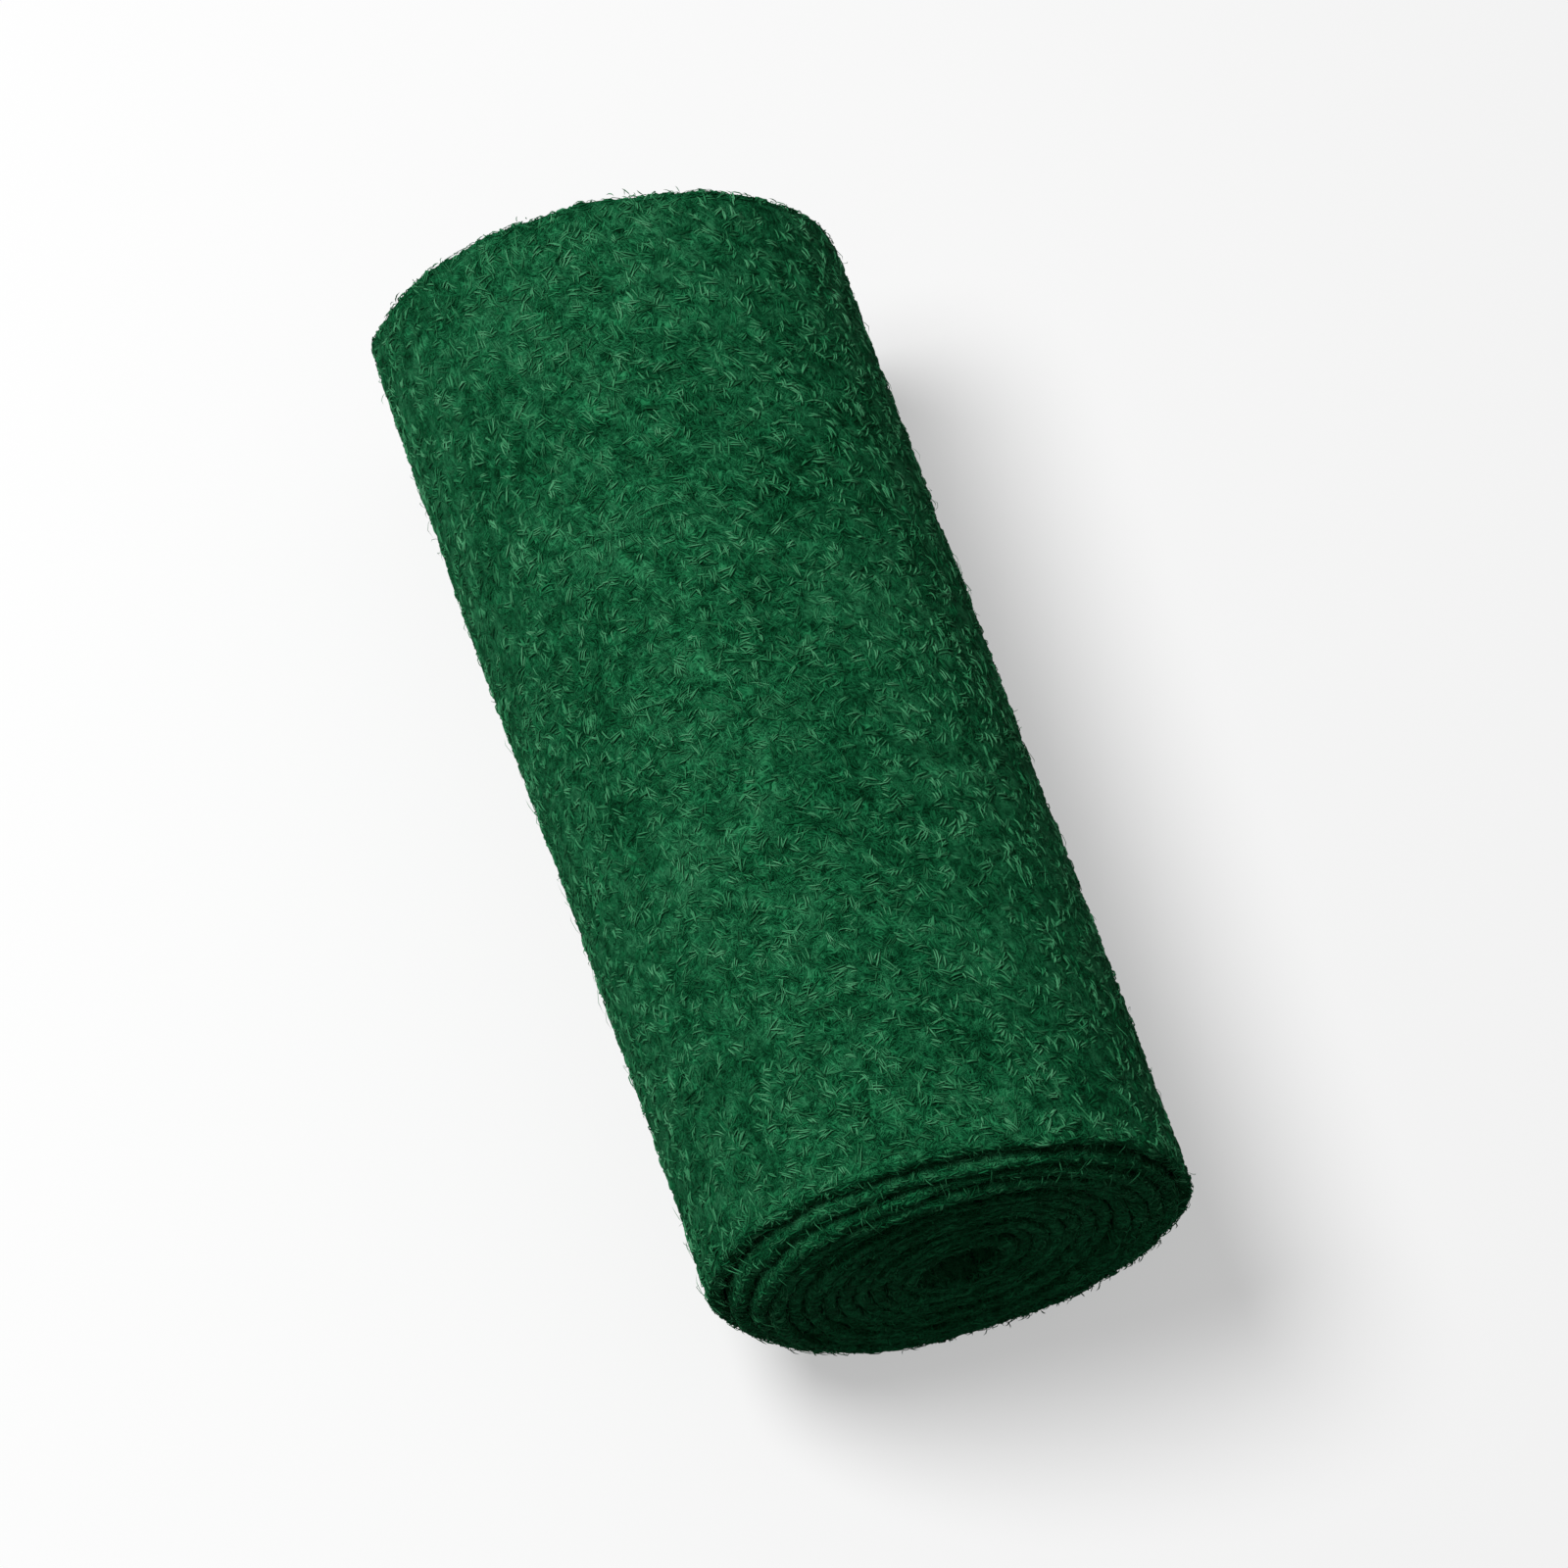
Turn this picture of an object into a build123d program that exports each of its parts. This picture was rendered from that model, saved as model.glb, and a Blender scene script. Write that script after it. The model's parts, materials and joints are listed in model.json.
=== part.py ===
"""Roll of grass seed mat: one strip of needled fibre mat, wound up and lying on its side.

The strip winds as a two-centre spiral. The tail half of every turn is turned about the bore's
axis, and the lead half about a second axis half a mat thickness away, so the halves meet with no
kink and every turn lies on the one before. The creases between the turns show on both ends of the
roll. The last turns have drifted along the axis: their edges are set back at the near end and
stand proud at the far end. The loose end is tucked under, and the roll rests on its edge.

In millimetres. The axis of the roll runs along Y and the near end faces -Y. +Z is up, and the
origin is on the floor under the middle of the roll.
"""
from build123d import *
import math
import os

# The strip of mat
MAT_THICKNESS = 4.6
MAT_WIDTH = 305.0

# The winding: the turns round the bore, and how many degrees short the last of them stops
TURNS = 12
BORE_DIAMETER = 28.0
LAST_TURN_SHORT_BY = 45.0

# The edges of the turns, as the ends of the roll show them: a worn shoulder on each side of an
# edge, and a crease where two shoulders meet
SHOULDER_WIDTH = 1.2
CREASE_DEPTH = 2.0

# How many of the last turns have drifted along the axis, and by how much each
DRIFTED_TURNS = 2
DRIFT_PER_TURN = 4.0

bore_radius = BORE_DIAMETER / 2
centre_shift = MAT_THICKNESS / 2
total_drift = DRIFT_PER_TURN * DRIFTED_TURNS

# The outer radius of the last turn's tail half, and of the turn that shows beyond the loose end
tail_radius = bore_radius + TURNS * MAT_THICKNESS
resting_radius = tail_radius - MAT_THICKNESS

# The roll rests on the edge of its loose end and, this far round from there, on the turn beneath
tuck_angle = math.acos(resting_radius / tail_radius)


def drift(turn):
    """How far a turn has moved towards the far end. Turn 0 is the innermost."""
    first_to_drift = TURNS - DRIFTED_TURNS
    return DRIFT_PER_TURN * max(0, turn + 1 - first_to_drift)


def edge_line(turns, inner_radius, level, outward):
    """The edges of some turns along one radius, going outwards, as (radius, height) points. Turn 0
    starts deeper, in stock that the bore clears away, and turns that drift alike share a crease."""
    points = []
    for turn in turns:
        inside = inner_radius + turn * MAT_THICKNESS
        outside = inner_radius + (turn + 1) * MAT_THICKNESS
        edge = level - drift(turn)
        crease = edge - outward * CREASE_DEPTH
        if turn == 0:
            points.append((inside - centre_shift, edge))
        else:
            points += [(inside, crease), (inside + SHOULDER_WIDTH, edge)]
        points += [(outside - SHOULDER_WIDTH, edge), (outside, crease)]
    return list(dict.fromkeys(points))


def part_turns(turns, centre_x, inner_radius, side, sweep):
    """The same part of some turns, swept about their own centre from one side of it."""
    near_line = edge_line(turns, inner_radius, MAT_WIDTH, 1)
    far_line = edge_line(turns, inner_radius, 0, -1)
    outline = [(centre_x + side * radius, 0, height) for radius, height in near_line + far_line[::-1]]
    section = make_face(Polyline(*outline, close=True))
    return revolve(section, Axis((centre_x, 0, 0), (0, 0, 1)), sweep)


def wound_mat():
    """The roll in its winding frame: the bore along Z, and the near end up. The lead halves sweep
    from +X round to -X, and the tail halves go on from there."""
    lead_halves = part_turns(range(TURNS), -centre_shift, bore_radius - centre_shift, 1, 180)
    tail_halves = part_turns(range(TURNS - 1), 0, bore_radius, -1, 180)
    last_tail = part_turns(range(TURNS - 1, TURNS), 0, bore_radius, -1, 180 - LAST_TURN_SHORT_BY)
    bore = Pos(0, 0, MAT_WIDTH / 2) * Cylinder(bore_radius, 2 * (MAT_WIDTH + total_drift))
    return lead_halves + tail_halves + last_tail - bore


def resting_place():
    """The winding frame's place, with the loose end tucked under and the roll centred on the
    origin."""
    past_contact = math.radians(LAST_TURN_SHORT_BY) - tuck_angle
    bore_x = centre_shift * (1 + math.sin(past_contact)) / 2
    bore_end = (bore_x, (MAT_WIDTH - total_drift) / 2, resting_radius)
    winding_x = (math.sin(past_contact), 0, -math.cos(past_contact))
    return Plane(origin=bore_end, x_dir=winding_x, z_dir=(0, -1, 0)).location


rolled_mat = resting_place() * wound_mat()
rolled_mat.label = "rolled_mat"
os.makedirs("parts", exist_ok=True)
export_step(rolled_mat, "parts/rolled_mat.step")

# What the strip measures when it is laid out flat, along the middle of its thickness
mid_radii = [bore_radius + (turn + 0.5) * MAT_THICKNESS for turn in range(TURNS)]
whole_turns = sum(math.pi * (2 * radius - centre_shift) for radius in mid_radii)
strip_length = whole_turns - math.radians(LAST_TURN_SHORT_BY) * mid_radii[-1]
bore_axis = resting_place() * Pos(0, 0, MAT_WIDTH / 2)
lead_axis = resting_place() * Pos(-centre_shift, 0, MAT_WIDTH / 2)
box = rolled_mat.bounding_box()
print("box from", box.min, "to", box.max)
print("bore axis through", bore_axis.position)
print("lead halves' axis through", lead_axis.position)
print("strip length", round(strip_length, 1))
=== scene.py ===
"""The roll of grass seed mat: one strip of needled fibre mat, wound round an open bore.

In metres, in the frame of the solids: the roll's axis runs along Y, its near end faces -Y, and it
lies on the floor at Z = 0 with its loose end tucked under.

A place on the mat is given by three numbers. The first is the winding angle from the inner end of
the strip, or the length along the strip to there. The second is how far across the strip it is,
measured over its outline from the middle of the outer face. The third is the lift off that outline.
"""
import bmesh
import bpy
import json
import math
import numpy as np
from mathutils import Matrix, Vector


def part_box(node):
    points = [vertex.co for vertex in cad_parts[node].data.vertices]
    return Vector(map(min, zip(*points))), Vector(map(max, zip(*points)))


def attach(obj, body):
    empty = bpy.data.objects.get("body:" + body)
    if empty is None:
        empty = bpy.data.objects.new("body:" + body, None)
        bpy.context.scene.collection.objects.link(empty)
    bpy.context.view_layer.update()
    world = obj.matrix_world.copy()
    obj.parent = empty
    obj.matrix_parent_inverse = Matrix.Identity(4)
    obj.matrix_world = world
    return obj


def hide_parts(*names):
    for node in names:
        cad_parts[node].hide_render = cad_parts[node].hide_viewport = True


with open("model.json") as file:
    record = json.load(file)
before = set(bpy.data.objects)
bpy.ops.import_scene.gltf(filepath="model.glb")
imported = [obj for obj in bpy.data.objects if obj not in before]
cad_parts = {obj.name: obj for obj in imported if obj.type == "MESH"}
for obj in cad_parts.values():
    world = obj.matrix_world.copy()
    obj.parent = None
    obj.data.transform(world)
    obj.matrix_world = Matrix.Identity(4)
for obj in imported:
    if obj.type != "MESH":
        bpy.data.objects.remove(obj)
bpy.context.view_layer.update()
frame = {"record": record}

BORE = next(mount for mount in frame["record"]["mounts"] if mount["name"] == "bore")
CAD_LOW, CAD_HIGH = (np.array(corner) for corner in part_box("rolled_mat"))

# The strip of mat and its winding, as the solid has them
BORE_X, BORE_Y, BORE_Z = BORE["pos_m"]
BORE_RADIUS = BORE["dims"]["r_mm"] / 1000
MAT_WIDTH = BORE["dims"]["length_mm"] / 1000
TOTAL_DRIFT = CAD_HIGH[1] - CAD_LOW[1] - MAT_WIDTH
MAT_THICKNESS = 0.0046
TURNS = 12
LAST_TURN_SHORT_BY = math.radians(45)
WHOLE_TURN = 2 * math.pi
LOOSE_END = WHOLE_TURN * TURNS - LAST_TURN_SHORT_BY
ROLL_RADIUS = BORE_RADIUS + TURNS * MAT_THICKNESS
TUCK_ANGLE = math.acos((ROLL_RADIUS - MAT_THICKNESS) / ROLL_RADIUS)
PAST_CONTACT = LAST_TURN_SHORT_BY - TUCK_ANGLE

# The strip's section: flat faces that thin a little towards the edges, and edges rounded on a
# squared ellipse, with the creases between the turns beside them
HALF_THICKNESS = 0.00220
EDGE_DEPTH = 0.0019
EDGE_ROUNDNESS = 0.62
EDGE_LENGTH = 0.0068
EDGE_THINNING = 0.00045
THINNING_REACH = 0.009
FACE_HALF = MAT_WIDTH / 2 - EDGE_DEPTH
ACROSS_LIMIT = FACE_HALF + EDGE_LENGTH

# The last turns drift along the axis, from this many turns before the loose end. The edges of
# fewer of them lift off the turn beneath, in a strip this wide, by a height whose share goes up
# and down about its middle and never past the greatest.
DRIFTING_TURNS = 2.4
LIFTED_TURNS = 1.3
LIFTED_REACH = 0.014
EDGE_LIFT = 0.0010
MIDDLE_LIFT = 0.5
GREATEST_LIFT = 1.2

# The outer turns lie askew: their right side is this much nearer the viewer than the roll's middle
ASKEW = 0.0075

# The soft roll out of round: how many waves go round it, their height and where they start, how
# much it has shrunk, how much fuller it is near its near end, and how softly its underside is
# eased flat
OUT_OF_ROUND = [(2, 0.0004, -0.6), (3, 0.0003, 1.1)]
SHRUNK = 0.0005
FULLER = 0.0006
FULLER_FROM, FULLER_OVER = 0.09, 0.06
UNDERSIDE_EASING = 0.0008

# Noises over the mat, as seed, height and cell, and the tone that the last two go up and down from
WANDER = (11, 0.0006, 0.16)
RIPPLE = (21, 0.0004, 0.07)
LUMPS = (31, 0.00018, 0.0034)
CLUMPS = (32, 0.00018, 0.0085)
DENTS = (33, 0.00022, 0.032)
FINE_TONE = (51, 0.46, 0.0031)
BROAD_TONE = (52, 0.10, 0.0085)
MIDDLE_TONE = 0.55

# Where the noises round the roll and over the mat's faces start
RIPPLE_START = 0.5
FACE_START = 1.0

# Noises along the two cut edges, as seed, height, cell, and how far from its middle each side
# reads it, and how far in from the rounding the faces' dents end and the cut's waves begin
CUT_WAVE = (41, 0.0008, 0.040, 7.0)
FRAY = (42, 0.0004, 0.0044, 5.0)
PULLED = (44, 0.0006, 0.012, 9.0)
SLOW_LIFT = (43, 0.4, 0.055, 3.0)
QUICK_LIFT = (45, 0.5, 0.015, 3.0)
CUT_REACH = 0.01


def soft_noise(seed, cell, u, v):
    """Smooth noise between -1 and 1: seeded random values on a square lattice of the given cell,
    blended between the four nearest lattice points by a smooth step."""
    size = 512
    lattice = np.random.default_rng(seed).uniform(-1, 1, (size, size))
    u, v = np.broadcast_arrays(u / cell, v / cell)
    column, row = np.floor(u).astype(int), np.floor(v).astype(int)
    a, b = u - column, v - row
    a, b = a * a * (3 - 2 * a), b * b * (3 - 2 * b)
    column_2, row_2 = (column + 1) % size, (row + 1) % size
    column, row = column % size, row % size
    near = lattice[column, row] * (1 - a) + lattice[column_2, row] * a
    far = lattice[column, row_2] * (1 - a) + lattice[column_2, row_2] * a
    return near * (1 - b) + far * b


def waves(noise, u, v):
    """One of the noises over the mat, at its height."""
    seed, height, cell = noise
    return height * soft_noise(seed, cell, u, v)


def edge_waves(noise, length, across):
    """One of the noises along the cut edges, at its height: each side has its own."""
    seed, height, cell, apart = noise
    return height * soft_noise(seed, cell, length, np.sign(across) * apart)


def mid_radius(winding):
    """The radius of the middle of the mat about its own centre: it grows by one thickness with
    each turn, and by half of one more in a turn's tail half."""
    in_tail = np.floor(winding / math.pi) % 2
    return BORE_RADIUS + MAT_THICKNESS * (np.floor(winding / WHOLE_TURN) + in_tail / 2)


# Winding angle against length along the strip, in steps fine enough to read between. Each step's
# radius is read just past its start, so that it is that of its own half turn.
WINDING_STEPS = np.linspace(0, LOOSE_END, 40001)
JUST_PAST = 1e-9
ARC_LENGTHS = mid_radius(WINDING_STEPS[:-1] + JUST_PAST) * np.diff(WINDING_STEPS)
LENGTH_STEPS = np.concatenate(([0], np.cumsum(ARC_LENGTHS)))
STRIP_LENGTH = LENGTH_STEPS[-1]
OUTERMOST_TURN = WHOLE_TURN * ROLL_RADIUS


def length_at(winding):
    """Length along the strip from its inner end, for a winding angle."""
    return np.interp(winding, WINDING_STEPS, LENGTH_STEPS)


def winding_at(length):
    """Winding angle for a length along the strip from its inner end."""
    return np.interp(length, LENGTH_STEPS, WINDING_STEPS)


def into_last_turns(winding, turns):
    """How far into the last turns a place is: 0 up to that many turns before the loose end, then
    growing evenly to 1 there."""
    return np.clip(1 - (LOOSE_END - winding) / (WHOLE_TURN * turns), 0, 1)


def near_edge(across, reach):
    """How near the strip's edges a place is: 0 up to that reach before the rounding, then growing
    evenly to 1 where the rounding starts."""
    return np.clip((np.abs(across) - FACE_HALF + reach) / reach, 0, 1)


def drift(winding):
    """How far the strip has moved towards the far end: nothing until the last turns, then
    growing evenly to the loose end, with a slow wander of each turn besides."""
    wander = waves(WANDER, length_at(winding), 0.0)
    return TOTAL_DRIFT * into_last_turns(winding, DRIFTING_TURNS) + wander


def outline(across):
    """The strip's outline by the distance over it from the middle of the outer face: flat, a
    little thinner towards the edge, then round the edge by half a turn to the inner face, on a
    squared ellipse. Gives the offset from the middle of the mat, the place along the axis, and the
    outward direction."""
    side = np.sign(across)
    bend = np.clip((np.abs(across) - FACE_HALF) / EDGE_LENGTH, 0, 1) * math.pi
    up, out = np.cos(bend), np.sin(bend)
    thinning = EDGE_THINNING * near_edge(across, THINNING_REACH) ** 2 * np.clip(up, 0, 1)
    offset = HALF_THICKNESS * np.sign(up) * np.abs(up) ** EDGE_ROUNDNESS - thinning
    face = np.clip(across, -FACE_HALF, FACE_HALF)
    along = face + side * EDGE_DEPTH * np.abs(out) ** EDGE_ROUNDNESS
    return offset, along, up, side * out


def wound(winding, offset, along):
    """The place in the roll of a point of the mat, from its winding angle, its offset from the
    middle of the mat and its place along the axis. A turn's lead half is an arc about a centre
    half a thickness beside the bore's axis, and its tail half an arc about that axis."""
    in_lead = np.floor(winding / math.pi) % 2 == 0
    radius = mid_radius(winding) + offset
    u = radius * np.cos(winding) - np.where(in_lead, MAT_THICKNESS / 2, 0)
    v = radius * np.sin(winding)
    x = u * math.sin(PAST_CONTACT) + v * math.cos(PAST_CONTACT)
    z = -u * math.cos(PAST_CONTACT) + v * math.sin(PAST_CONTACT)
    return x, along + drift(winding), z


def settled(x, y, z):
    """The soft roll's own shape: slightly out of round by slow waves round it, with a ripple over
    it, a little fuller towards the near end, and sheared along its axis by the distance to the
    side, all growing with the square of the distance from the bore. Ends with the roll on the
    floor, its underside eased flat."""
    angle = np.arctan2(z, x)
    share = (np.hypot(x, z) / ROLL_RADIUS) ** 2
    waved = sum(high * np.cos(count * angle + start) for count, high, start in OUT_OF_ROUND)
    ripple = waves(RIPPLE, angle * ROLL_RADIUS + RIPPLE_START, y + RIPPLE_START)
    fuller = FULLER * np.clip((-y - FULLER_FROM) / FULLER_OVER, 0, 1) ** 2
    swell = 1 + share * (waved - SHRUNK + ripple + fuller) / ROLL_RADIUS
    height = BORE_Z + z * swell
    height = (height + np.sqrt(height ** 2 + UNDERSIDE_EASING ** 2)) / 2
    along = BORE_Y + y - ASKEW * share * x / ROLL_RADIUS
    return np.stack((BORE_X + x * swell, along, height), axis=-1)


def outward(places):
    """The direction straight out from the bore's axis."""
    away = places - np.array([BORE_X, 0, BORE_Z])
    away = away * np.array([1, 0, 1])
    return away / (np.linalg.norm(away, axis=-1, keepdims=True) + 1e-9)


def relief(winding, across):
    """The lift of the matted surface: three sizes of soft lump, the largest only on the faces."""
    length, from_start = length_at(winding), across + FACE_START
    on_face = np.clip((FACE_HALF - np.abs(across)) / CUT_REACH, 0, 1)
    lumps = waves(LUMPS, length, from_start) + waves(CLUMPS, length, from_start)
    return lumps + on_face * waves(DENTS, length, from_start)


def ragged(winding, across):
    """How far the cut edge stands out or in: a slow wave from the cutting, a shorter one where
    fibres have pulled, and a fine fray."""
    length = length_at(winding)
    cut = sum(edge_waves(noise, length, across) for noise in (CUT_WAVE, PULLED, FRAY))
    return np.sign(across) * near_edge(across, CUT_REACH) * cut


def edge_lift(winding, across):
    """How far the edges of the last turn stand off the turn beneath: in waves of two lengths,
    growing towards the loose end and by the square of the nearness to the edge."""
    length = length_at(winding)
    slow = edge_waves(SLOW_LIFT, length, across)
    quick = edge_waves(QUICK_LIFT, length, across)
    share = into_last_turns(winding, LIFTED_TURNS) * near_edge(across, LIFTED_REACH) ** 2
    return EDGE_LIFT * share * np.clip(MIDDLE_LIFT + slow + quick, 0, GREATEST_LIFT)


def mat_place(winding, across, lift=0.0):
    """The place of a point on the mat's outer face or edges, lifted off it along its normal."""
    offset, along, up, out = outline(across)
    lift = lift + relief(winding, across)
    along = along + out * lift + ragged(winding, across)
    return settled(*wound(winding, offset + up * lift + edge_lift(winding, across), along))


def clump_shade(length, across):
    """How light a clump of fibres is, from 0 to 1: noise of two sizes about a middle tone."""
    from_start = across + FACE_START
    tone = waves(FINE_TONE, length, from_start) + waves(BROAD_TONE, length, from_start)
    return np.clip(MIDDLE_TONE + tone, 0, 1)


# The UV map that the mat's pattern follows, in metres, and the one that a finish is baked through
PATTERN_MAP = "length_and_across"
BAKE_MAP = "OFBake"


def make_mesh(name, places, faces, finish, shade=None, maps=None):
    """A smooth mesh from an array of places and an array of faces with a like number of corners.
    It may get a shade for each vertex, and UV maps by name, one pair for each face corner."""
    mesh = bpy.data.meshes.new(name)
    corners = faces.shape[1]
    mesh.vertices.add(len(places))
    mesh.vertices.foreach_set("co", places.astype(np.float32).ravel())
    mesh.loops.add(faces.size)
    mesh.loops.foreach_set("vertex_index", faces.astype(np.int32).ravel())
    mesh.polygons.add(len(faces))
    mesh.polygons.foreach_set("loop_start", np.arange(0, faces.size, corners, dtype=np.int32))
    mesh.update(calc_edges=True)
    mesh.polygons.foreach_set("use_smooth", np.ones(len(faces), dtype=bool))
    for map_name, corner_uv in (maps or {}).items():
        layer = mesh.uv_layers.new(name=map_name)
        layer.data.foreach_set("uv", corner_uv.astype(np.float32).ravel())
    if shade is not None:
        attribute = mesh.attributes.new("shade", "FLOAT", "POINT")
        attribute.data.foreach_set("value", shade.astype(np.float32).ravel())
    mesh.materials.append(finish)
    piece = bpy.data.objects.new(name, mesh)
    bpy.context.scene.collection.objects.link(piece)
    return piece


def quad_corners(at_ring, at_column):
    """The four corners of each quad of a grid, in the order of its vertices, from its start and
    end along the rings and along the columns."""
    (start, end), (near, far) = at_ring, at_column
    corners = [(start, near), (start, far), (end, far), (end, near)]
    grids = [np.stack(np.broadcast_arrays(u, v), axis=-1) for u, v in corners]
    return np.stack(grids, axis=-2).reshape(-1, 4, 2)


# The most room across the strip that one column of faces gets on its bake map: the wide columns
# are those of hidden faces
BAKE_ROOM = 0.004


def strip_bake_map(length, rings, over):
    """The stretch of strip laid out on the unit square, cut into as many rows as make its pixels
    about square, each row as high as its columns' room."""
    columns = np.concatenate(([0], np.cumsum(np.minimum(np.diff(over), BAKE_ROOM))))
    rows = max(1, round(math.sqrt(length / columns[-1])))
    columns /= columns[-1]
    quads_in_row = math.ceil((rings - 1) / rows)
    row, place = np.divmod(np.arange(rings - 1)[:, None], quads_in_row)
    at_ring = place / quads_in_row, (place + 1) / quads_in_row
    at_column = (row + columns[None, :-1]) / rows, (row + columns[None, 1:]) / rows
    return quad_corners(at_ring, at_column)


# The rounding of the strip's cut ends: how long it is, how much of the thickness it takes, in how
# many rings, and how far from the ends the other rings stay. Past it, rings at the very end bring
# the outer face down to the inner one.
END_ROUNDING = 0.0016
END_ROUNDING_DEPTH = 0.3
END_ROUNDING_RINGS = 4
END_CLEAR = 1.2 * END_ROUNDING
CLOSING_THICKNESSES = [0.5, 0.27, 0.04]

# The columns of faces round an edge, how much darker its cut is as painted shade for the shaded roll
# ends, and the inner face's tone
EDGE_COLUMNS = 8
CUT_PAINTED_SHADE = 0.45
INNER_SHADE = 0.5


def ring_lengths(first, last, ring_step):
    """Where the rings of a stretch of strip lie along it, in even steps, and how much of its
    thickness the mat has there: whole, but for a quarter round and the closing rings at both
    ends."""
    bend = np.linspace(0, math.pi / 2, END_ROUNDING_RINGS + 1)[1:]
    closing = np.zeros(len(CLOSING_THICKNESSES))
    back = np.concatenate((END_ROUNDING * (1 - np.sin(bend)), closing))
    rounding = 1 - END_ROUNDING_DEPTH * (1 - np.cos(bend))
    thickness = np.concatenate((rounding, CLOSING_THICKNESSES))
    lengths = np.linspace(first, last, round((last - first) / ring_step))
    lengths = lengths[(lengths > first + END_CLEAR) & (lengths < last - END_CLEAR)]
    thick = np.concatenate((thickness[::-1], np.ones(len(lengths)), thickness))
    return np.concatenate(((first + back)[::-1], lengths, last - back)), thick


def strip_part(name, first, last, fineness, finish):
    """The strip from one length along it to another, as a closed mesh: its outline, carried along
    the winding. At each end the outer face rounds over and comes down to the inner face, which
    closes it. The fineness is the step between rings, the width of a column on the outer face,
    and how many places go across the inner one."""
    ring_step, face_step, inner_count = fineness
    flat = np.linspace(-FACE_HALF, FACE_HALF, max(3, round(2 * FACE_HALF / face_step) + 1))
    edge = np.linspace(FACE_HALF, ACROSS_LIMIT, EDGE_COLUMNS + 1)[1:]
    across = np.concatenate((-edge[::-1], flat, edge))
    inner = np.linspace(FACE_HALF, -FACE_HALF, inner_count + 2)[1:-1]
    lengths, thick = ring_lengths(first, last, ring_step)

    winding = winding_at(lengths)[:, None]
    offset, along, up, out = outline(across[None, :])
    lift = relief(winding, across[None, :])
    outer_offset = (offset + up * lift + HALF_THICKNESS) * thick[:, None] - HALF_THICKNESS
    outer_offset = outer_offset + edge_lift(winding, across[None, :])
    outer_along = along + out * lift + ragged(winding, across[None, :])
    outer = settled(*wound(winding, outer_offset, outer_along))
    under_along = inner[None, :] + 0 * winding
    under = settled(*wound(winding, 0 * under_along - HALF_THICKNESS, under_along))
    places = np.concatenate((outer, under), axis=1)

    rings, ring = places.shape[:2]
    index = np.arange(rings * ring).reshape(rings, ring)
    wrapped = np.concatenate((index, index[:, :1]), axis=1)
    quads = (wrapped[:-1, :-1], wrapped[:-1, 1:], wrapped[1:, 1:], wrapped[1:, :-1])
    inner_across = ACROSS_LIMIT + (FACE_HALF - inner)
    over = np.concatenate((across, inner_across, [ACROSS_LIMIT + 2 * FACE_HALF]))
    maps = {
        PATTERN_MAP: quad_corners((lengths[:-1, None], lengths[1:, None]), (over[:-1], over[1:])),
        BAKE_MAP: strip_bake_map(last - first, rings, over),
    }
    shade = np.full((rings, ring), INNER_SHADE)
    # Painted shade: the cut edges are darkened for the shade that falls on the roll's ends
    cut_painted_shade = 1 - CUT_PAINTED_SHADE * np.abs(out)
    shade[:, :len(across)] = clump_shade(lengths[:, None], across[None, :]) * cut_painted_shade
    faces = np.stack(quads, axis=-1).reshape(-1, 4)
    piece = make_mesh(name, places.reshape(-1, 3), faces, finish, shade, maps)
    close_ends(piece, index, len(across))
    return piece


def closing_faces(fine, coarse):
    """Triangles that close the gap between two lines of vertices, each fine one joined to the
    coarse one that is as far along."""
    share = np.arange(len(fine)) / (len(fine) - 1)
    partner = np.rint(share * (len(coarse) - 1)).astype(int)
    steps = np.stack((fine[:-1], fine[1:], coarse[partner[:-1]]), axis=-1)
    moved = np.flatnonzero(np.diff(partner))
    turns = (fine[moved + 1], coarse[partner[moved + 1]], coarse[partner[moved]])
    return np.concatenate((steps, np.stack(turns, axis=-1)))


def close_ends(piece, index, outer_count):
    """Closes the two ends of a stretch of strip with triangles between its outer and its inner
    line, and makes all faces point outwards."""
    shell = bmesh.new()
    shell.from_mesh(piece.data)
    shell.verts.ensure_lookup_table()
    for ring in (index[0], index[-1]):
        fine, coarse = ring[:outer_count], ring[outer_count:][::-1]
        for corners in closing_faces(fine, coarse):
            shell.faces.new([shell.verts[corner] for corner in corners]).smooth = True
    bmesh.ops.recalc_face_normals(shell, faces=shell.faces)
    shell.to_mesh(piece.data)
    shell.free()


class Value:
    """A node's output that can be reckoned with: each operator adds a Math node."""

    def __init__(self, finish, socket):
        self.finish = finish
        self.socket = socket

    def math(self, operation, *others):
        """A Math node on this value and any others."""
        inputs = dict(enumerate((self, *others)))
        return self.finish.node("ShaderNodeMath", {"operation": operation}, inputs)

    def __add__(self, other):
        return self.math("ADD", other)

    def __mul__(self, other):
        return self.math("MULTIPLY", other)

    def __sub__(self, other):
        return self.math("SUBTRACT", other)

    def __rsub__(self, other):
        return (self * -1).math("ADD", other)

    def __pow__(self, other):
        return self.math("POWER", other)

    def __abs__(self):
        return self.math("ABSOLUTE")

    __radd__ = __add__
    __rmul__ = __mul__


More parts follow.
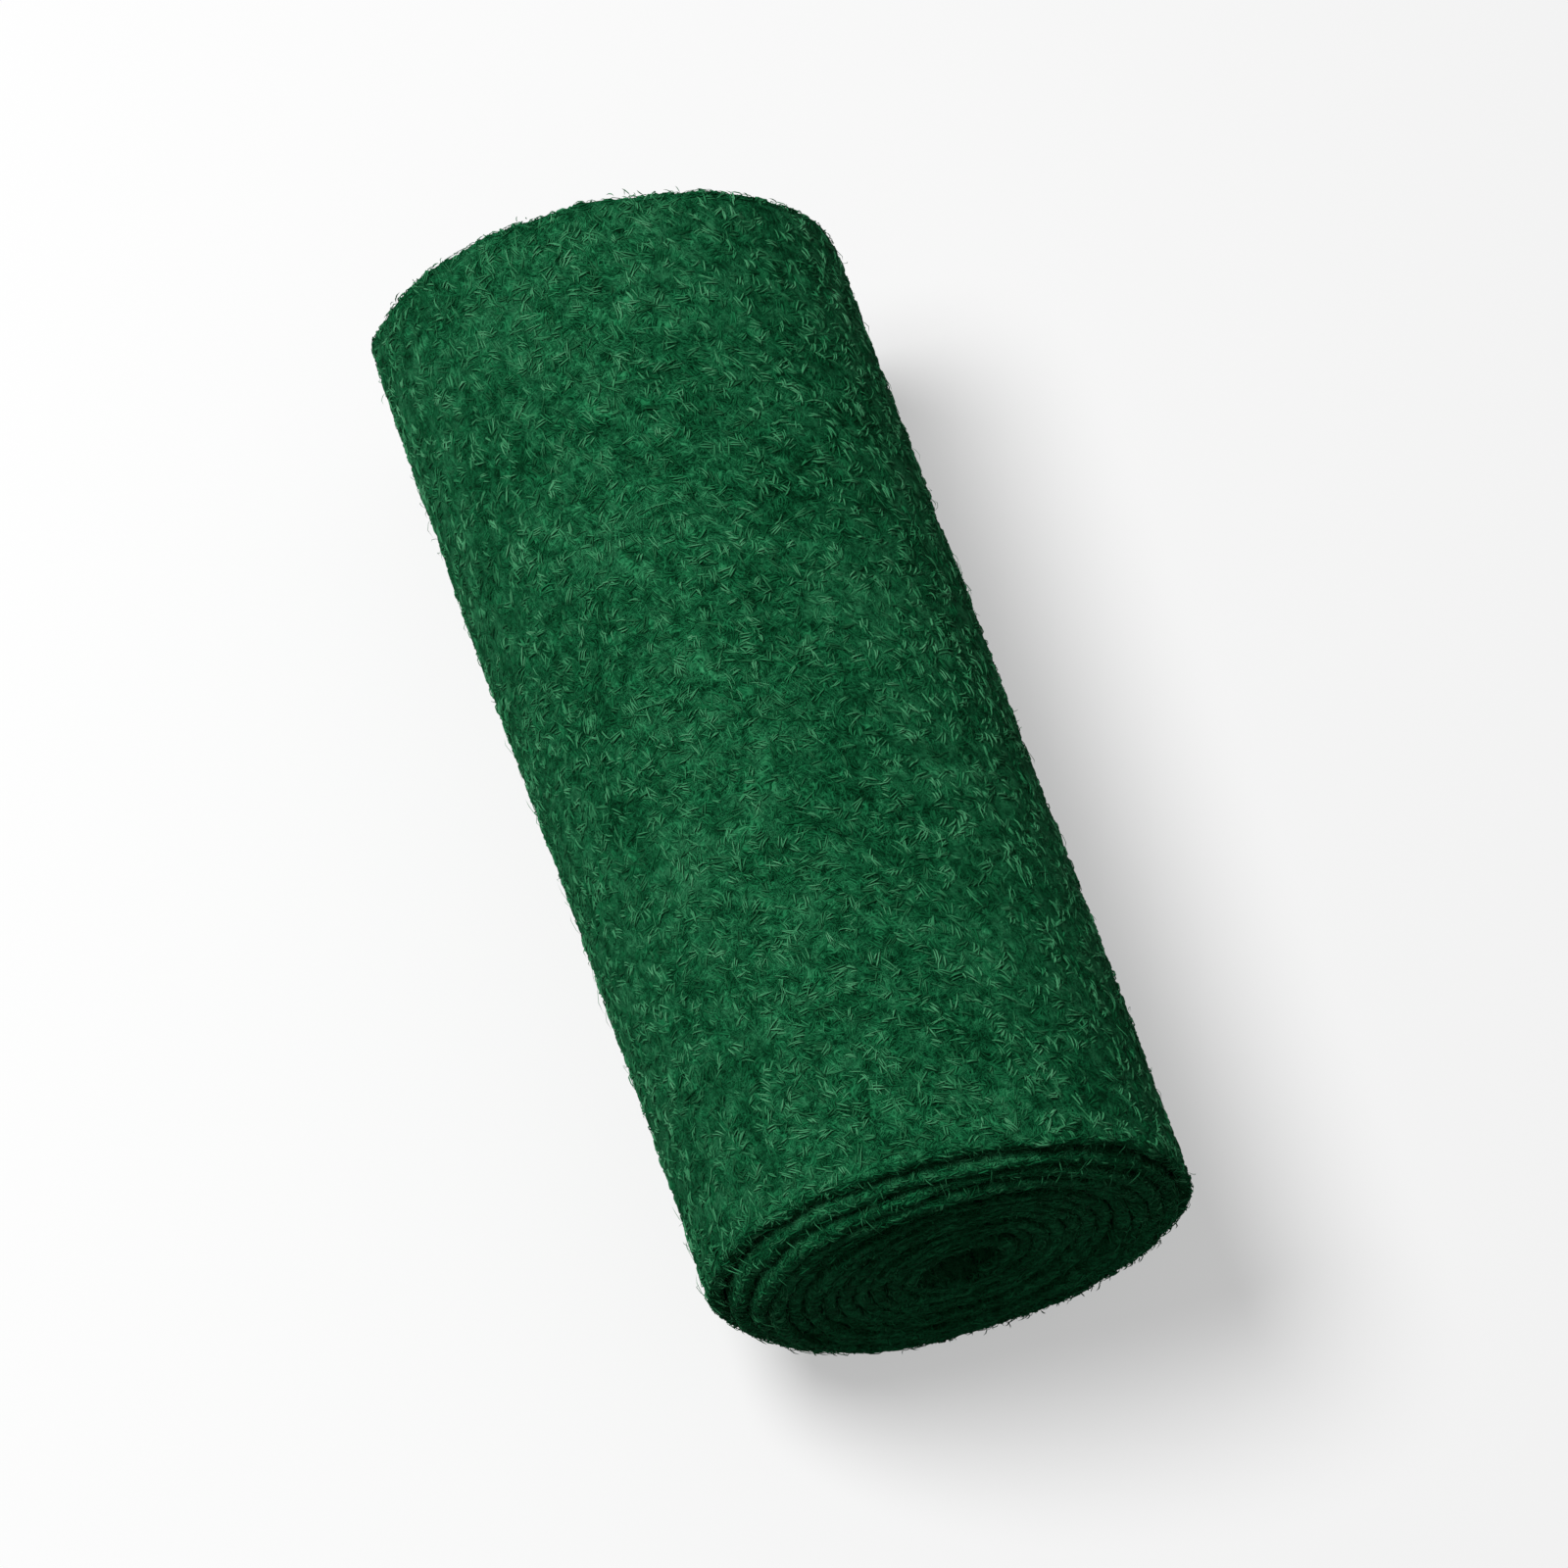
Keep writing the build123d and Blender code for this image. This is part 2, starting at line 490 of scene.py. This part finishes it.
class Finish:
    """The nodes of a material or of the world: node() adds any node and gives back its output."""

    def __init__(self, owner):
        self.owner = owner
        owner.use_nodes = True
        self.tree = owner.node_tree
        self.tree.nodes.clear()

    def node(self, kind, settings=None, inputs=None, output=0):
        """Adds a node: its settings first, then values or links for its sockets."""
        node = self.tree.nodes.new(kind)
        for name, setting in (settings or {}).items():
            setattr(node, name, setting)
        for name, given in (inputs or {}).items():
            if isinstance(given, Value):
                self.tree.links.new(given.socket, node.inputs[name])
            else:
                node.inputs[name].default_value = given
        return Value(self, node.outputs[output])

    def noise(self, vector, scale, detail, roughness=0.5, output=0):
        """Flat noise, read on a UV map."""
        inputs = {"Vector": vector, "Scale": scale, "Detail": detail, "Roughness": roughness}
        return self.node("ShaderNodeTexNoise", {"noise_dimensions": "2D"}, inputs, output)

    def vector(self, operation, inputs):
        """A step of vector arithmetic."""
        return self.node("ShaderNodeVectorMath", {"operation": operation}, inputs)

    def shade(self):
        """The shade that the mesh gives for each vertex: the fibres' own tone, with painted shade on
        the cut edges and towards the strands' ends.
        """
        return self.node("ShaderNodeAttribute", {"attribute_name": "shade"}, None, "Fac")

    def seen(self):
        """1 for what the camera sees, straight or by way of gloss or glass, and 0 for what only
        lights the roll."""
        kinds = ("Is Camera Ray", "Is Glossy Ray", "Is Transmission Ray")
        camera, gloss, glass = [self.node("ShaderNodeLightPath", None, None, kind) for kind in kinds]
        return camera.math("MAXIMUM", gloss).math("MAXIMUM", glass)

    def blend(self, factor, first, second):
        """A mix of two colours."""
        settings = {"data_type": "RGBA", "clamp_factor": True}
        return self.node("ShaderNodeMix", settings, {0: factor, 6: first, 7: second}, 2)

    def end(self, shader, kind="ShaderNodeOutputMaterial"):
        """Ends the nodes with their output, and gives back the material or the world."""
        output = self.tree.nodes.new(kind)
        self.tree.links.new(shader.socket, output.inputs["Surface"])
        return self.owner

    def surface(self, inputs):
        """Ends a material with the shader of a plain surface."""
        return self.end(self.node("ShaderNodeBsdfPrincipled", None, inputs))


def rgb(red, green, blue):
    """An opaque colour."""
    return (red, green, blue, 1.0)


# The greens of the fibres, from the gaps between them, whose darkest green is painted shade, to the
# palest strands
GAP_SHADE_GREEN = rgb(0.0007, 0.018, 0.0052)
DEEP_GREEN = rgb(0.0012, 0.050, 0.0150)
MID_GREEN = rgb(0.0130, 0.175, 0.0640)
LIGHT_GREEN = rgb(0.0550, 0.310, 0.1350)
PALE_GREEN = rgb(0.1100, 0.390, 0.1950)

# The layers of matted fibre that the faces show: heading in degrees, length and width in metres
FIBRE_LAYERS = [
    (12, 0.0060, 0.00050),
    (64, 0.0075, 0.00060),
    (101, 0.0055, 0.00045),
    (153, 0.0070, 0.00055),
]

# How far apart the layers read their noise, how narrow and how sharp its crests are, how far a
# fibre strays from its straight line, and how deep the bump is between fibres
LAYER_APART = (0.31, 0.17)
CREST_NARROWNESS = 3.2
CREST_SHARPNESS = 1.6
FIBRE_WANDER = 0.0075
FIBRE_BUMP = 0.0007

# The cells to a metre of the fibres' wander, of the clumps and of the slow patches of tone
WANDER_CELLS, CLUMP_CELLS, PATCH_CELLS = 110.0, 420.0, 28.0

# What the crests and the clumps make of the height, and what the height, the patches and the mesh's
# own shade make of the tone. The patches and the shade are the fibres' own tone; by the height, the
# crests are painted light and the low gaps between fibres painted shade
CREST_HEIGHT, CLUMP_HEIGHT = 0.7, 0.6
HEIGHT_LIGHT_AND_SHADE, PATCH_TONE, SHADE_TONE = 0.85, 0.3, 0.35

# The greens that the matted faces go through: the tone that each starts from, how steeply it
# comes in, and the green
MATTED_GREENS = [
    (0.56, 3.0, DEEP_GREEN),
    (0.78, 3.0, MID_GREEN),
    (1.08, 2.6, LIGHT_GREEN),
]


def fibre_layer(finish, coordinates, heading, length, width, layer):
    """Thin crests of a noise that is drawn out along one heading: one less the noise's distance
    from its middle, sharpened."""
    turned = finish.node("ShaderNodeMapping", {"vector_type": "TEXTURE"}, {
        "Vector": coordinates,
        "Location": (LAYER_APART[0] * layer, LAYER_APART[1] * layer, 0.0),
        "Rotation": (0, 0, math.radians(heading)),
        "Scale": (length, width, 1.0)})
    noise = finish.noise(turned, scale=1.0, detail=1.5, roughness=0.55)
    distance = abs(noise * 2 - 1)
    return (1 - distance * CREST_NARROWNESS).math("MAXIMUM", 0.0) ** CREST_SHARPNESS


def matted_finish():
    """Needled fibre: crossing layers of fibre crests over dark gaps, with slow changes of tone. By
    their height the crests get painted light and the gaps painted shade.
    """
    finish = Finish(bpy.data.materials.new("matted_fibre"))
    uv = finish.node("ShaderNodeUVMap", {"uv_map": PATTERN_MAP})
    wander = finish.noise(uv, WANDER_CELLS, detail=1.0, output=1)
    centred = finish.vector("SUBTRACT", {0: wander, 1: (0.5, 0.5, 0.5)})
    scaled = finish.vector("SCALE", {0: centred, "Scale": FIBRE_WANDER})
    bent = finish.vector("ADD", {0: uv, 1: scaled})
    crests = [fibre_layer(finish, bent, *sizes, layer) for layer, sizes in enumerate(FIBRE_LAYERS)]
    top = crests[0]
    for crest in crests[1:]:
        top = top.math("MAXIMUM", crest)
    clumps = finish.noise(uv, CLUMP_CELLS, detail=2.0, roughness=0.6)
    patches = finish.noise(uv, PATCH_CELLS, detail=2.0)
    height = top * CREST_HEIGHT + clumps * CLUMP_HEIGHT
    # The tone paints light on the high crests and shade in the low gaps, over the fibres' own tone
    tone = height * HEIGHT_LIGHT_AND_SHADE + patches * PATCH_TONE + finish.shade() * SHADE_TONE
    colour = GAP_SHADE_GREEN
    for start, steepness, green in MATTED_GREENS:
        colour = finish.blend((tone - start) * steepness, colour, green)
    bump = finish.node("ShaderNodeBump", None, {
        "Strength": 1.0, "Distance": FIBRE_BUMP, "Height": height})
    return finish.surface({
        "Base Color": colour, "Roughness": 0.9, "Normal": bump, "Specular IOR Level": 0.02})


def strand_finish(name, root_colour, crest_colour):
    """Strands of one batch: from the root colour to the crest colour by each strand's shade."""
    finish = Finish(bpy.data.materials.new(name))
    colour = finish.blend(finish.shade(), root_colour, crest_colour)
    return finish.surface({"Base Color": colour, "Roughness": 0.75, "Specular IOR Level": 0.04})


# A strand's section and steps: three-sided, tapered to a point at both ends, and how far along
# it each of its places is
STRAND_STEPS = 3
STRAND_SIDES = 3
STRAND_SHARES = np.linspace(0, 1, STRAND_STEPS + 1)

# How slowly a strand tapers, its shade at its first and last point and the least between them:
# painted shade that darkens it where it sinks into the mat
TAPER = 0.5
ROOT_PAINTED_SHADE = 0.25
TIP_PAINTED_SHADE = 0.35
LEAST_PAINTED_SHADE = 0.45

# How deep a strand's ends sink into the mat, how slowly its arch rises from there, how much less
# high it is than it is wide where it lies, the lowest that it comes to the floor, and how far
# from the loose end it stays
ROOT_DEPTH = 0.0003
ARCH_SLOWNESS = 0.7
LYING_FLATNESS = 0.6
LOWEST = 0.00005
END_MARGIN = 0.0003

# The strands' bake map: where it starts and how far it goes, to the right by shade and up along
# the strand, and the small step to the side
BAKE_SHADES = (0.04, 0.92)
BAKE_LENGTHS = (0.03, 0.94)
BAKE_STEP = 0.004


def strand_faces(count):
    """Triangles of all strands: a fan at each tip, and two to a side between the rings."""
    rings = STRAND_STEPS - 1
    ring = 1 + np.arange(rings * STRAND_SIDES).reshape(rings, STRAND_SIDES)
    following = np.roll(ring, -1, axis=1)
    tip = rings * STRAND_SIDES + 1
    first = np.stack((np.zeros(STRAND_SIDES, int), following[0], ring[0]), axis=-1)
    last = np.stack((np.full(STRAND_SIDES, tip), ring[-1], following[-1]), axis=-1)
    half = np.stack((ring[:-1], following[:-1], following[1:]), axis=-1).reshape(-1, 3)
    other = np.stack((ring[:-1], following[1:], ring[1:]), axis=-1).reshape(-1, 3)
    one = np.concatenate((first, half, other, last))
    return (one[None] + np.arange(count)[:, None, None] * (tip + 1)).reshape(-1, 3)


def strand_bake_map(shade, faces):
    """Where a strand's corners lie on its bake map: to the right by their shade, which is all
    that its colour goes by, and up along the strand. Strands that overlap there look alike. A
    small step to the side round each ring gives its faces width."""
    rings = STRAND_STEPS - 1
    round_ring = np.linspace(-BAKE_STEP, BAKE_STEP, STRAND_SIDES)
    aside = np.concatenate(([0], np.tile(round_ring, rings), [0]))
    along = np.repeat(STRAND_SHARES, [1] + [STRAND_SIDES] * rings + [1])
    right = BAKE_SHADES[0] + BAKE_SHADES[1] * shade + aside
    up = BAKE_LENGTHS[0] + BAKE_LENGTHS[1] * along
    right, up = np.broadcast_arrays(right, up)
    return np.stack((right.ravel(), up.ravel()), axis=-1)[faces]


def strands(name, centres, up, radii, shades, finish, flatness=1.0):
    """Closed tapered strands along lines of places: at each inner place a ring of points square to
    the line, the first of them up, less high than it is wide by the flatness, and a single point at
    each end. A strand is widest in its middle, by the sine of half a turn over its length, and
    lighter there by the same sine: painted shade darkens its ends where they sink into the mat."""
    count = len(centres)
    heading = np.gradient(centres, axis=1)
    heading /= np.linalg.norm(heading, axis=-1, keepdims=True) + 1e-12
    side = np.cross(heading, up)
    side /= np.linalg.norm(side, axis=-1, keepdims=True) + 1e-12
    other = np.cross(side, heading) * flatness
    turn = (1 / 4 + np.arange(STRAND_SIDES) / STRAND_SIDES) * WHOLE_TURN
    aside = np.cos(turn)[:, None] * side[:, 1:-1, None]
    spread = aside + np.sin(turn)[:, None] * other[:, 1:-1, None]
    fullness = np.sin(math.pi * STRAND_SHARES[1:-1])
    own_radii = (radii[:, None] * fullness ** TAPER)[:, :, None, None]
    rings = centres[:, 1:-1, None] + spread * own_radii
    rings[..., 2] = np.maximum(rings[..., 2], LOWEST)
    places = np.concatenate((centres[:, :1], rings.reshape(count, -1, 3), centres[:, -1:]), axis=1)
    # Painted shade: each strand darker towards its ends, where they sink into the mat
    between = np.repeat(LEAST_PAINTED_SHADE + (1 - LEAST_PAINTED_SHADE) * fullness, STRAND_SIDES)
    shade = shades[:, None] * np.concatenate(([ROOT_PAINTED_SHADE], between, [TIP_PAINTED_SHADE]))
    faces = strand_faces(count)
    maps = {BAKE_MAP: strand_bake_map(shade, faces)}
    return make_mesh(name, places.reshape(-1, 3), faces, finish, shade, maps)


def courses(reach, heading, turning):
    """How far each strand has gone ahead and to the side at each of its places: equal steps
    whose heading turns at an even rate."""
    course = heading[:, None] + turning[:, None] * STRAND_SHARES
    step = (reach / STRAND_STEPS)[:, None]
    return np.cumsum(step * np.cos(course), axis=1), np.cumsum(step * np.sin(course), axis=1)


def windings_on_strip(lengths):
    """The winding angles of strands' places, none of them past the ends of the strip."""
    return winding_at(np.clip(lengths, 0, STRIP_LENGTH - END_MARGIN))


def low_arch(peak):
    """The lift of a strand that lies on the mat: a low arch up to its peak, a power of the sine of
    half a turn over its length, with its ends sunk in."""
    arch = np.sin(math.pi * STRAND_SHARES) ** ARCH_SLOWNESS
    return -ROOT_DEPTH + (peak[:, None] + ROOT_DEPTH) * arch


# Wisps: how many strands lie side by side in one, and how far they spread in where they start,
# in length, in heading and in how much that turns
WISP = 3
START_SPREAD = 0.0005
LENGTH_SPREAD = 0.0006
HEADING_SPREAD = 0.12
TURNING_SPREAD = 0.2


def in_wisps(draw, values, spread):
    """Repeats each wisp's value for its strands, with a small normal difference for each."""
    repeated = np.repeat(values, WISP)
    return repeated + draw.normal(0, spread, len(repeated))


# Where strands lie unless something else is asked: on the outermost turn, over its whole outline
OUTERMOST = (STRIP_LENGTH - OUTERMOST_TURN, STRIP_LENGTH)
WHOLE_WIDTH = (-ACROSS_LIMIT, ACROSS_LIMIT)

# The turns that the near end's steps lay bare: how far back from the loose end they go, and from
# a little over the rounding of the near edge to a little way on to the face
BARE_TURNS = 3.2
BARE_STEPS = (STRIP_LENGTH - BARE_TURNS * OUTERMOST_TURN, OUTERMOST[0])
BARE_ACROSS = (-FACE_HALF - 0.003, -FACE_HALF + 0.004)

# The lying strands: the beta curve by which most wisps are short, how much their headings turn,
# how far from the outline's limits they stay, how much of a strand's tone is its wisp's own, and
# the power by which most strands are dark
SHORTNESS = (1.6, 3.0)
LYING_TURNING = 0.5
LIMIT_MARGIN = 0.0008
OWN_TONE = 0.35
LYING_DARKNESS = 1.5

# The fringe: the share of it at the near end, how many of the last turns have it there and at the
# far end, how far inside the edge it starts, how far to the side it may head and how much that
# turns, from how far before the edge it droops and how strongly, and how dark most of it is
FRINGE_NEAR_SHARE = 0.7
FRINGE_TURNS = (2.7, 1.0)
FRINGE_ROOT = (0.0005, 0.0030)
FRINGE_HEADING = 1.35
FRINGE_TURNING = 0.9
DROOP_FROM = 0.0015
DROOP = (80, 400)
FRINGE_DARKNESS = 1.3

# The strands on the edges: the part of the rounding that they start on, how far they head off the
# edge's line and how much that turns, how far their upper side leans outwards from the bore, and
# how dark most of them are
EDGE_BAND = (0.2, 0.8)
EDGE_HEADING = 0.9
EDGE_TURNING = 0.9
EDGE_LEAN = 0.5
EDGE_DARKNESS = 1.4

# The stray strands: how much their headings turn, how far they curl over, and their shades
STRAY_TURNING = 1.2
STRAY_CURL = (1.4, 2.6)
STRAY_SHADE = (0.2, 1.0)


def lying_strands(name, seed, count, finish, reach, radius, peak, on=(OUTERMOST, WHOLE_WIDTH)):
    """Strands that lie on the mat in wisps. Each wisp starts at a random place with a random
    heading, and its heading turns at an even rate. A strand is as light as the clump that it lies
    in, give or take a little for its wisp."""
    draw = np.random.default_rng(seed)
    wisps = count // WISP
    length = in_wisps(draw, draw.uniform(*on[0], wisps), START_SPREAD)
    across = in_wisps(draw, draw.uniform(*on[1], wisps), START_SPREAD)
    wisp_reach = reach[0] + (reach[1] - reach[0]) * draw.beta(*SHORTNESS, wisps)
    own_reach = in_wisps(draw, wisp_reach, LENGTH_SPREAD)
    heading = in_wisps(draw, draw.uniform(0, WHOLE_TURN, wisps), HEADING_SPREAD)
    turning = in_wisps(draw, draw.normal(0, LYING_TURNING, wisps), TURNING_SPREAD)
    ahead, aside = courses(own_reach, heading, turning)
    arch = low_arch(draw.uniform(*peak, count))
    winding = windings_on_strip(length[:, None] + ahead)
    limit = ACROSS_LIMIT - LIMIT_MARGIN
    across = np.clip(across[:, None] + aside, -limit, limit)
    clump = clump_shade(length_at(winding).mean(axis=1), across.mean(axis=1))
    own = np.repeat(draw.uniform(0, 1, wisps), WISP)
    shades = np.clip(own * OWN_TONE + clump * (1 - OWN_TONE), 0, 1) ** LYING_DARKNESS
    radii = draw.uniform(*radius, count)
    lines = mat_place(winding, across, arch)
    return strands(name, lines, outward(lines), radii, shades, finish, LYING_FLATNESS)


def fringe_strands(name, seed, count, finish, reach, radius, peak):
    """Short fibres that stick out over the edges of the last turns, more of them at the near end:
    each leaves the outer face near the edge, runs out along the roll's axis and droops by the
    square of how far out it is."""
    draw = np.random.default_rng(seed)
    side = np.where(draw.uniform(0, 1, count) < FRINGE_NEAR_SHARE, -1, 1)
    turns = np.where(side < 0, *FRINGE_TURNS) * draw.uniform(0, 1, count)
    root = MAT_WIDTH / 2 - draw.uniform(*FRINGE_ROOT, count)
    own_reach = draw.uniform(*reach, count)
    heading = draw.uniform(-FRINGE_HEADING, FRINGE_HEADING, count)
    ahead, aside = courses(own_reach, heading, draw.normal(0, FRINGE_TURNING, count))
    out = root[:, None] + ahead
    winding = windings_on_strip((STRIP_LENGTH - turns * OUTERMOST_TURN)[:, None] + aside)
    past_edge = np.clip(out - MAT_WIDTH / 2 + DROOP_FROM, 0, 1)
    lift = draw.uniform(*peak, count)[:, None] * np.sin(math.pi * STRAND_SHARES) - ROOT_DEPTH
    droop = draw.uniform(*DROOP, count)[:, None] * past_edge ** 2
    lines = settled(*wound(winding, HALF_THICKNESS + lift - droop, side[:, None] * out))
    radii = draw.uniform(*radius, count)
    shades = draw.uniform(0, 1, count) ** FRINGE_DARKNESS
    return strands(name, lines, outward(lines), radii, shades, finish)


def edge_strands(name, seed, count, finish, reach, radius, peak):
    """Strands on the edges of all turns, at both ends of the roll, mostly along the edge, one way
    or the other."""
    draw = np.random.default_rng(seed)
    side = np.where(draw.uniform(0, 1, count) < 1 / 2, -1, 1)
    length = draw.uniform(0, STRIP_LENGTH, count)
    start = FACE_HALF + EDGE_LENGTH * draw.uniform(*EDGE_BAND, count)
    own_reach = draw.uniform(*reach, count)
    heading = draw.normal(0, EDGE_HEADING, count) + math.pi * (draw.uniform(0, 1, count) < 1 / 2)
    ahead, aside = courses(own_reach, heading, draw.normal(0, EDGE_TURNING, count))
    winding = windings_on_strip(length[:, None] + ahead)
    across = np.clip(start[:, None] + aside, FACE_HALF, ACROSS_LIMIT) * side[:, None]
    lines = mat_place(winding, across, low_arch(draw.uniform(*peak, count)))
    up = outward(lines) * EDGE_LEAN + np.array([0, 1, 0]) * side[:, None, None]
    radii = draw.uniform(*radius, count)
    shades = draw.uniform(0, 1, count) ** EDGE_DARKNESS
    return strands(name, lines, up, radii, shades, finish, LYING_FLATNESS)


def stray_strands(name, seed, count, finish, reach, radius, peak):
    """Fine fibres that have come loose: each leaves the mat at a low angle and curls back, by the
    sine of its curl over its length."""
    draw = np.random.default_rng(seed)
    length = draw.uniform(*OUTERMOST, count)
    across = draw.uniform(*WHOLE_WIDTH, count)
    own_reach = draw.uniform(*reach, count)
    heading = draw.uniform(0, WHOLE_TURN, count)
    ahead, aside = courses(own_reach, heading, draw.normal(0, STRAY_TURNING, count))
    winding = windings_on_strip(length[:, None] + ahead)
    across = np.clip(across[:, None] + aside, -ACROSS_LIMIT, ACROSS_LIMIT)
    height = draw.uniform(*peak, count)[:, None]
    curl = draw.uniform(*STRAY_CURL, count)[:, None]
    lines = mat_place(winding, across, height * np.sin(STRAND_SHARES * curl) - ROOT_DEPTH)
    radii = draw.uniform(*radius, count)
    shades = draw.uniform(*STRAY_SHADE, count)
    return strands(name, lines, outward(lines), radii, shades, finish)


# The floor: how far it reaches, its tone where it is seen and for the light that it throws back,
# and how much of what is seen of it is plain white
FLOOR_REACH = 12.0
FLOOR_SEEN = rgb(0.92, 0.92, 0.92)
FLOOR_BOUNCE = rgb(0.28, 0.28, 0.28)
FLOOR_WHITE = 0.45

# The lamp: which way it lies, how far off, how wide, and its strength at the roll. The sky's
# strength, as it lights the roll and as it is seen.
LAMP_TOWARD = np.array([-0.36, 0.20, 0.90])
LAMP_DISTANCE = 2.2
LAMP_WIDTH = 1.1
LAMP_STRENGTH = 0.95
SKY_STRENGTH = 0.22
SKY_SEEN = 0.93

# The photograph's direction of view: high over the near end, turned a little to the left
VIEW_AZIMUTH = math.radians(-18.7)
VIEW_ELEVATION = math.radians(66)
VIEW_DISTANCE = 3.0
VIEW_WIDTH = 0.44
VIEW_MIDDLE = Vector((0.0, -0.005, 0.07))


def floor_finish():
    """The pale floor: it takes the roll's shadow, and it is seen near white."""
    finish = Finish(bpy.data.materials.new("pale_floor"))
    seen = finish.seen()
    tone = finish.blend(seen, FLOOR_BOUNCE, FLOOR_SEEN)
    plain = finish.node("ShaderNodeBsdfDiffuse", None, {"Color": tone})
    white = finish.node("ShaderNodeEmission", None, {"Color": rgb(1, 1, 1), "Strength": 1.0})
    mixed = finish.node("ShaderNodeMixShader", None, {0: seen * FLOOR_WHITE, 1: plain, 2: white})
    return finish.end(mixed)


def make_floor():
    """A square of floor that reaches past the camera's view."""
    corners = np.array([(-1, -1, 0), (1, -1, 0), (1, 1, 0), (-1, 1, 0)])
    floor = make_mesh("floor", corners * FLOOR_REACH, np.array([[0, 1, 2, 3]]), floor_finish())


def place_facing(data, place, target):
    """Adds a lamp or a camera at a place, facing the target."""
    item = bpy.data.objects.new(data.name, data)
    bpy.context.scene.collection.objects.link(item)
    item.location = place
    item.rotation_mode = "QUATERNION"
    item.rotation_quaternion = (target - place).to_track_quat("-Z", "Y")
    return item


def make_light():
    """One large soft lamp beyond the roll, up and to the left, and an even sky."""
    lamp = bpy.data.lights.new("soft_lamp", "AREA")
    lamp.shape = "DISK"
    lamp.size = LAMP_WIDTH
    lamp.energy = LAMP_STRENGTH * math.pi ** 2 * LAMP_DISTANCE ** 2
    place = Vector(LAMP_TOWARD / np.linalg.norm(LAMP_TOWARD) * LAMP_DISTANCE)
    place_facing(lamp, place, Vector((0, 0, 0)))
    world = Finish(bpy.data.worlds.new("even_sky"))
    sky = world.node("ShaderNodeBackground", None, {"Strength": SKY_STRENGTH})
    seen = world.node("ShaderNodeBackground", None, {"Strength": SKY_SEEN})
    mixed = world.node("ShaderNodeMixShader", None, {0: world.seen(), 1: sky, 2: seen})
    bpy.context.scene.world = world.end(mixed, "ShaderNodeOutputWorld")


def make_camera():
    """The camera at the photograph's direction of view, with the roll filling most of the frame."""
    back = Vector((
        math.sin(VIEW_AZIMUTH) * math.cos(VIEW_ELEVATION),
        -math.cos(VIEW_AZIMUTH) * math.cos(VIEW_ELEVATION),
        math.sin(VIEW_ELEVATION)))
    data = bpy.data.cameras.new("camera")
    data.sensor_width = 36
    data.lens = data.sensor_width * VIEW_DISTANCE / VIEW_WIDTH
    camera = place_facing(data, VIEW_MIDDLE + back * VIEW_DISTANCE, VIEW_MIDDLE)
    bpy.context.scene.camera = camera


# How many turns show their whole face, with a little to spare, and the fineness of the strip
# there and in the roll, where only its edges show
OUTER_TURNS = 1.1
OUTER_FINENESS = (0.0015, 0.0016, 5)
INNER_FINENESS = (0.0014, 0.15, 3)


make_camera()
make_light()
make_floor()
bpy.context.scene.view_settings.view_transform = "Standard"

matted = matted_finish()
outer_start = length_at(LOOSE_END - WHOLE_TURN * OUTER_TURNS)
strip = [
    strip_part("outer_turn", outer_start, STRIP_LENGTH, OUTER_FINENESS, matted),
    strip_part("inner_turns", 0, outer_start, INNER_FINENESS, matted),
]

deep_fibre = strand_finish("deep_fibre", DEEP_GREEN, MID_GREEN)
mid_fibre = strand_finish("mid_fibre", DEEP_GREEN, LIGHT_GREEN)
light_fibre = strand_finish("light_fibre", MID_GREEN, PALE_GREEN)
edge_fibre = strand_finish("edge_fibre", DEEP_GREEN, MID_GREEN)
stray_fibre = strand_finish("stray_fibre", MID_GREEN, LIGHT_GREEN)

# Each batch of strands: its name, seed, count and finish, then its strands' reach, radius and
# peak, as the least and the most
fibres = [
    lying_strands("deep_strands", 101, 15900, deep_fibre,
                  (0.003, 0.008), (0.00026, 0.00048), (-0.0001, 0.0003)),
    lying_strands("mid_strands", 102, 15900, mid_fibre,
                  (0.003, 0.008), (0.00025, 0.00048), (0.0, 0.0005)),
    lying_strands("light_strands", 103, 13500, light_fibre,
                  (0.003, 0.008), (0.00020, 0.00038), (0.0001, 0.0008)),
    lying_strands("step_strands", 106, 2400, mid_fibre,
                  (0.002, 0.006), (0.00022, 0.00040), (0.0, 0.0004), (BARE_STEPS, BARE_ACROSS)),
    fringe_strands("fringe_strands", 107, 1100, mid_fibre,
                   (0.0014, 0.0042), (0.00010, 0.00024), (0.0, 0.0005)),
    edge_strands("edge_strands", 104, 12000, edge_fibre,
                 (0.003, 0.009), (0.00014, 0.00030), (0.0001, 0.0008)),
    stray_strands("stray_strands", 105, 900, stray_fibre,
                  (0.004, 0.011), (0.00006, 0.00011), (0.0006, 0.0026)),
]

for piece in strip + fibres:
    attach(piece, "root")
    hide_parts("rolled_mat")
